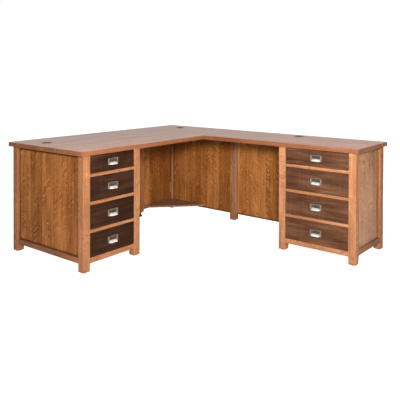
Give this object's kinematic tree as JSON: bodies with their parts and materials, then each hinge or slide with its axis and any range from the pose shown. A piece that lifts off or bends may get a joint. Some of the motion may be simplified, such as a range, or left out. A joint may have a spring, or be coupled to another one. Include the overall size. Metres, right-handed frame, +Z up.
{
  "type": "corner desk",
  "caption": "L-shaped wooden executive desk with square posts, framed panels, inset dark drawers on both pedestals, label-holder pulls and cable ports.",
  "frame": {"origin": "on the floor, under the centre of the L's overall rectangle", "axes": "+Z up; +X along the main desk towards the corner with the return; +Y towards the main desk's back. Main drawers open along -Y and return drawers along -X."},
  "size_m": [1.68, 2.07, 0.764],
  "materials": {
    "top_wood": "satin lacquer over honey-brown stain, lengthwise boards",
    "frame_wood": "satin lacquer over honey-brown stain",
    "panel_wood": "satin lacquer over honey-brown stain, upright figured boards",
    "inner_wood": "sanded, thinly stained",
    "drawer_front_wood": "dark brown stain over rough-sawn face",
    "drawer_box_wood": "clear lacquer",
    "pull_nickel": "satin nickel, slightly aged",
    "slide_steel": "zinc-plated",
    "plate_steel": "zinc-plated",
    "black_plastic": "matt moulded"
  },
  "bodies": {
    "desk": {"main_top": "top_wood", "return_top": "top_wood", "main_posts": "frame_wood", "return_posts": "frame_wood", "main_end_panel": "panel_wood", "main_inner_panel": "panel_wood", "main_back_panels": "panel_wood", "corner_end_panel": "panel_wood", "corner_shelf": "panel_wood", "main_rails": "frame_wood", "return_rails": "frame_wood", "return_end_panel": "panel_wood", "return_inner_panel": "panel_wood", "return_back_panel": "panel_wood", "return_modesty_panel": "panel_wood", "support_cleats": "inner_wood", "cable_grommets": "black_plastic", "foot_glides": "black_plastic", "slide_cabinet_members": "slide_steel", "seam_plates": "plate_steel"},
    "main_drawer_1": {"main_drawer_1_front": "drawer_front_wood", "main_drawer_1_box": "drawer_box_wood", "main_drawer_1_pull": "pull_nickel", "main_drawer_1_slide": "slide_steel"},
    "main_drawer_1_mid": {"main_drawer_1_mid_slide": "slide_steel"},
    "main_drawer_2": {"main_drawer_2_front": "drawer_front_wood", "main_drawer_2_box": "drawer_box_wood", "main_drawer_2_pull": "pull_nickel", "main_drawer_2_slide": "slide_steel"},
    "main_drawer_2_mid": {"main_drawer_2_mid_slide": "slide_steel"},
    "main_drawer_3": {"main_drawer_3_front": "drawer_front_wood", "main_drawer_3_box": "drawer_box_wood", "main_drawer_3_pull": "pull_nickel", "main_drawer_3_slide": "slide_steel"},
    "main_drawer_3_mid": {"main_drawer_3_mid_slide": "slide_steel"},
    "main_drawer_4": {"main_drawer_4_front": "drawer_front_wood", "main_drawer_4_box": "drawer_box_wood", "main_drawer_4_pull": "pull_nickel", "main_drawer_4_slide": "slide_steel"},
    "main_drawer_4_mid": {"main_drawer_4_mid_slide": "slide_steel"},
    "return_drawer_1": {"return_drawer_1_front": "drawer_front_wood", "return_drawer_1_box": "drawer_box_wood", "return_drawer_1_pull": "pull_nickel", "return_drawer_1_slide": "slide_steel"},
    "return_drawer_1_mid": {"return_drawer_1_mid_slide": "slide_steel"},
    "return_drawer_2": {"return_drawer_2_front": "drawer_front_wood", "return_drawer_2_box": "drawer_box_wood", "return_drawer_2_pull": "pull_nickel", "return_drawer_2_slide": "slide_steel"},
    "return_drawer_2_mid": {"return_drawer_2_mid_slide": "slide_steel"},
    "return_drawer_3": {"return_drawer_3_front": "drawer_front_wood", "return_drawer_3_box": "drawer_box_wood", "return_drawer_3_pull": "pull_nickel", "return_drawer_3_slide": "slide_steel"},
    "return_drawer_3_mid": {"return_drawer_3_mid_slide": "slide_steel"},
    "return_drawer_4": {"return_drawer_4_front": "drawer_front_wood", "return_drawer_4_box": "drawer_box_wood", "return_drawer_4_pull": "pull_nickel", "return_drawer_4_slide": "slide_steel"},
    "return_drawer_4_mid": {"return_drawer_4_mid_slide": "slide_steel"}
  },
  "joints": [
    {"name": "main_drawer_1_travel", "type": "slide", "parent": "desk", "child": "main_drawer_1", "axis": [0, -1, 0], "range_m": [0, 0.5]},
    {"name": "main_drawer_1_mid_travel", "type": "slide", "parent": "desk", "child": "main_drawer_1_mid", "axis": [0, -1, 0], "range_m": [0, 0.25]},
    {"name": "main_drawer_2_travel", "type": "slide", "parent": "desk", "child": "main_drawer_2", "axis": [0, -1, 0], "range_m": [0, 0.5]},
    {"name": "main_drawer_2_mid_travel", "type": "slide", "parent": "desk", "child": "main_drawer_2_mid", "axis": [0, -1, 0], "range_m": [0, 0.25]},
    {"name": "main_drawer_3_travel", "type": "slide", "parent": "desk", "child": "main_drawer_3", "axis": [0, -1, 0], "range_m": [0, 0.5]},
    {"name": "main_drawer_3_mid_travel", "type": "slide", "parent": "desk", "child": "main_drawer_3_mid", "axis": [0, -1, 0], "range_m": [0, 0.25]},
    {"name": "main_drawer_4_travel", "type": "slide", "parent": "desk", "child": "main_drawer_4", "axis": [0, -1, 0], "range_m": [0, 0.5]},
    {"name": "main_drawer_4_mid_travel", "type": "slide", "parent": "desk", "child": "main_drawer_4_mid", "axis": [0, -1, 0], "range_m": [0, 0.25]},
    {"name": "return_drawer_1_travel", "type": "slide", "parent": "desk", "child": "return_drawer_1", "axis": [-1, 0, 0], "range_m": [0, 0.4]},
    {"name": "return_drawer_1_mid_travel", "type": "slide", "parent": "desk", "child": "return_drawer_1_mid", "axis": [-1, 0, 0], "range_m": [0, 0.2]},
    {"name": "return_drawer_2_travel", "type": "slide", "parent": "desk", "child": "return_drawer_2", "axis": [-1, 0, 0], "range_m": [0, 0.4]},
    {"name": "return_drawer_2_mid_travel", "type": "slide", "parent": "desk", "child": "return_drawer_2_mid", "axis": [-1, 0, 0], "range_m": [0, 0.2]},
    {"name": "return_drawer_3_travel", "type": "slide", "parent": "desk", "child": "return_drawer_3", "axis": [-1, 0, 0], "range_m": [0, 0.4]},
    {"name": "return_drawer_3_mid_travel", "type": "slide", "parent": "desk", "child": "return_drawer_3_mid", "axis": [-1, 0, 0], "range_m": [0, 0.2]},
    {"name": "return_drawer_4_travel", "type": "slide", "parent": "desk", "child": "return_drawer_4", "axis": [-1, 0, 0], "range_m": [0, 0.4]},
    {"name": "return_drawer_4_mid_travel", "type": "slide", "parent": "desk", "child": "return_drawer_4_mid", "axis": [-1, 0, 0], "range_m": [0, 0.2]}
  ],
  "couplings": [
    {"joint": "main_drawer_1_mid_travel", "follows": "main_drawer_1_travel", "ratio": 0.5},
    {"joint": "main_drawer_2_mid_travel", "follows": "main_drawer_2_travel", "ratio": 0.5},
    {"joint": "main_drawer_3_mid_travel", "follows": "main_drawer_3_travel", "ratio": 0.5},
    {"joint": "main_drawer_4_mid_travel", "follows": "main_drawer_4_travel", "ratio": 0.5},
    {"joint": "return_drawer_1_mid_travel", "follows": "return_drawer_1_travel", "ratio": 0.5},
    {"joint": "return_drawer_2_mid_travel", "follows": "return_drawer_2_travel", "ratio": 0.5},
    {"joint": "return_drawer_3_mid_travel", "follows": "return_drawer_3_travel", "ratio": 0.5},
    {"joint": "return_drawer_4_mid_travel", "follows": "return_drawer_4_travel", "ratio": 0.5}
  ]
}
